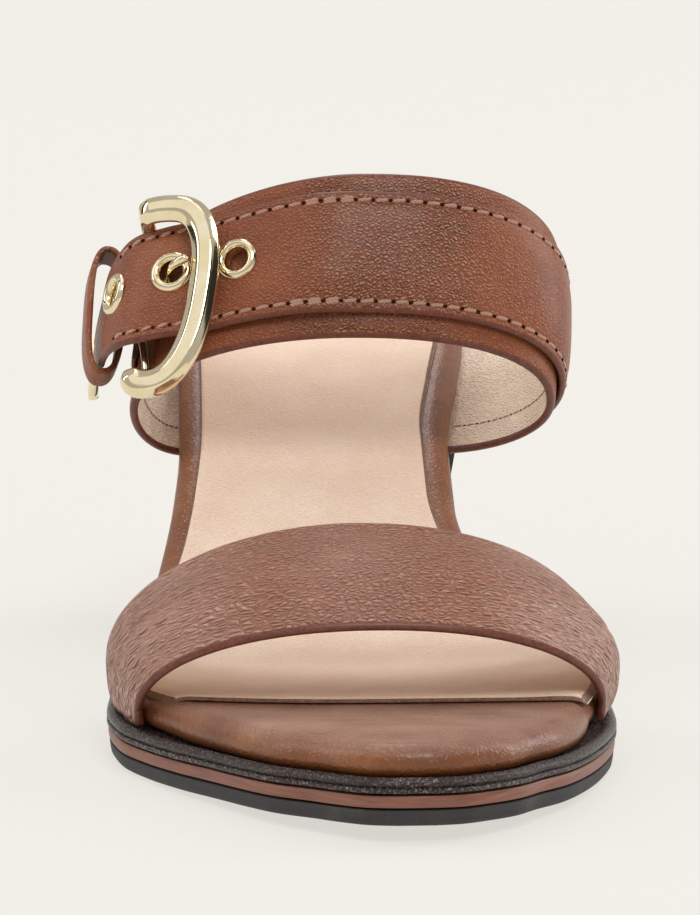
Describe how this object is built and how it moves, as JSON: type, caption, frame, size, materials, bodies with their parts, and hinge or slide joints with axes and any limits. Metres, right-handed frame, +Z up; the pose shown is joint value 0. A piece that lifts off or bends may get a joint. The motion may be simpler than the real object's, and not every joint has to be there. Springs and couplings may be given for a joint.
{
  "type": "heeled slide sandal",
  "caption": "Heeled slide sandal for the right foot: leather vamp and instep straps, side buckle with eyelets, padded footbed, welted sole and tapered block heel.",
  "frame": {"origin": "centre of the part's box in plan, on the floor that the heel and the forefoot stand on", "axes": "+Y from toe to heel along the shoe, +X toward the medial (big toe) side, +Z up"},
  "size_m": [0.1004, 0.24, 0.1026],
  "materials": {
    "outsole": "matte charcoal",
    "midsole": "waxed red-brown edge",
    "welt": "near-black, rubbed",
    "footbed": "semi-gloss brown wrap",
    "insole": "matte beige lining leather",
    "heel": "dark stacked block, satin",
    "heel_top_piece": "matte black",
    "vamp_strap": "pebbled matte brown",
    "instep_strap": "smooth semi-gloss brown",
    "buckle_strap": "stitched semi-gloss brown",
    "brass": "polished pale gold plating",
    "strap_keeper": "folded brown leather",
    "buckle_tab": "brown leather"
  },
  "bodies": {
    "root": {"outsole": "outsole", "midsole": "midsole", "welt": "welt", "footbed": "footbed", "insole": "insole", "heel": "heel", "heel_top_piece": "heel_top_piece", "vamp_strap": "vamp_strap", "instep_strap": "instep_strap", "buckle_strap": "buckle_strap", "eyelet_1": "brass", "eyelet_2": "brass", "eyelet_3": "brass", "buckle_frame": "brass", "buckle_prong": "brass", "strap_keeper": "strap_keeper", "strap_tip": "brass", "buckle_tab": "buckle_tab"}
  },
  "joints": []
}
